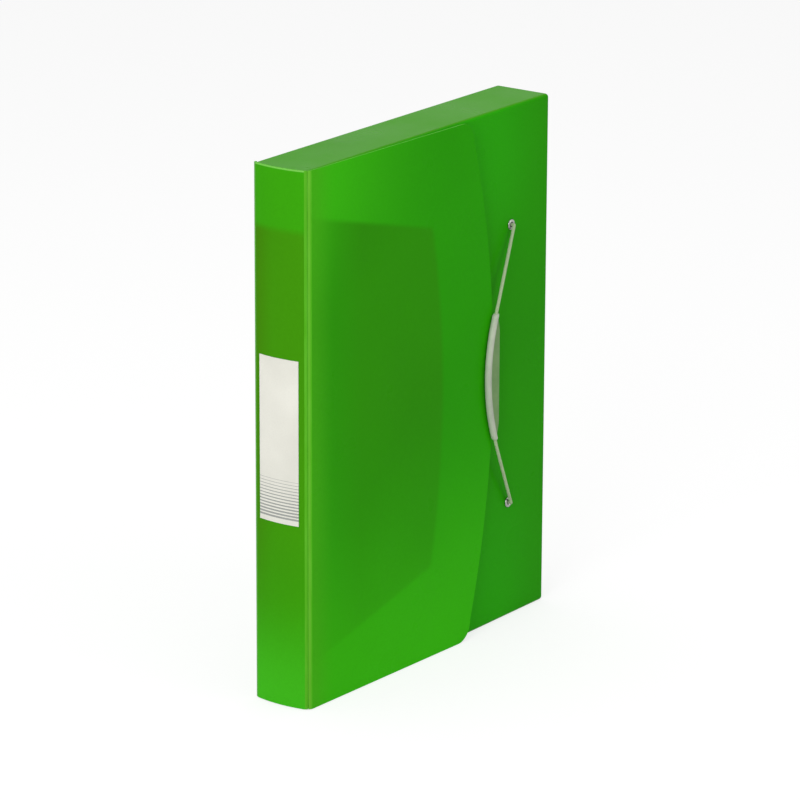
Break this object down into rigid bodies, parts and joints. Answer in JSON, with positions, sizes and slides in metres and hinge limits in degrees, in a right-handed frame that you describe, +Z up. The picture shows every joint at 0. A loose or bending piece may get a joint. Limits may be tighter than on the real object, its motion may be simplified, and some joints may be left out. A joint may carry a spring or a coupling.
{
  "type": "project folder",
  "caption": "A4 box file of translucent green plastic with a hinged front cover, labelled spine and an elastic cord closure with a finger grip.",
  "frame": {"origin": "under the middle of the bounding box, on the surface that the box stands on", "axes": "+Z up the standing box, -X towards the spine, -Y out of the front cover, +Y out of the back panel"},
  "size_m": [0.2424, 0.047, 0.32],
  "materials": {
    "tray_plastic": "translucent green polypropylene sheet, smooth gloss",
    "spine_plastic": "translucent green polypropylene sheet, smooth gloss",
    "cover_plastic": "translucent green polypropylene sheet, smooth gloss",
    "label_paper": "matt white paper",
    "eyelet_metal": "bright nickel plate",
    "stop_metal": "plain crimped steel",
    "elastic": "braided elastic cord",
    "grip_plastic": "satin translucent grey moulding"
  },
  "bodies": {
    "box": {"tray": "tray_plastic", "eyelet_lower": "eyelet_metal", "eyelet_upper": "eyelet_metal", "cord_tail_lower": "elastic", "cord_tail_upper": "elastic", "cord_stop_lower": "stop_metal", "cord_stop_upper": "stop_metal"},
    "spine": {"spine_panel": "spine_plastic", "spine_label": "label_paper"},
    "cover": {"front_cover": "cover_plastic"},
    "closure": {"elastic_cord": "elastic", "elastic_grip": "grip_plastic"}
  },
  "joints": [
    {"name": "spine_hinge", "type": "hinge", "parent": "box", "child": "spine", "pos_m": [-0.11748, 0.02219, 0.16], "axis": [0, 0, -1], "range_deg": [0, 90]},
    {"name": "cover_hinge", "type": "hinge", "parent": "spine", "child": "cover", "pos_m": [-0.11748, -0.01523, 0.16], "axis": [0, 0, -1], "range_deg": [0, 180]},
    {"name": "elastic_swing", "type": "hinge", "parent": "box", "child": "closure", "pos_m": [0.08223, -0.01702, 0.16], "axis": [0, 0, 1], "range_deg": [0, 170]}
  ]
}
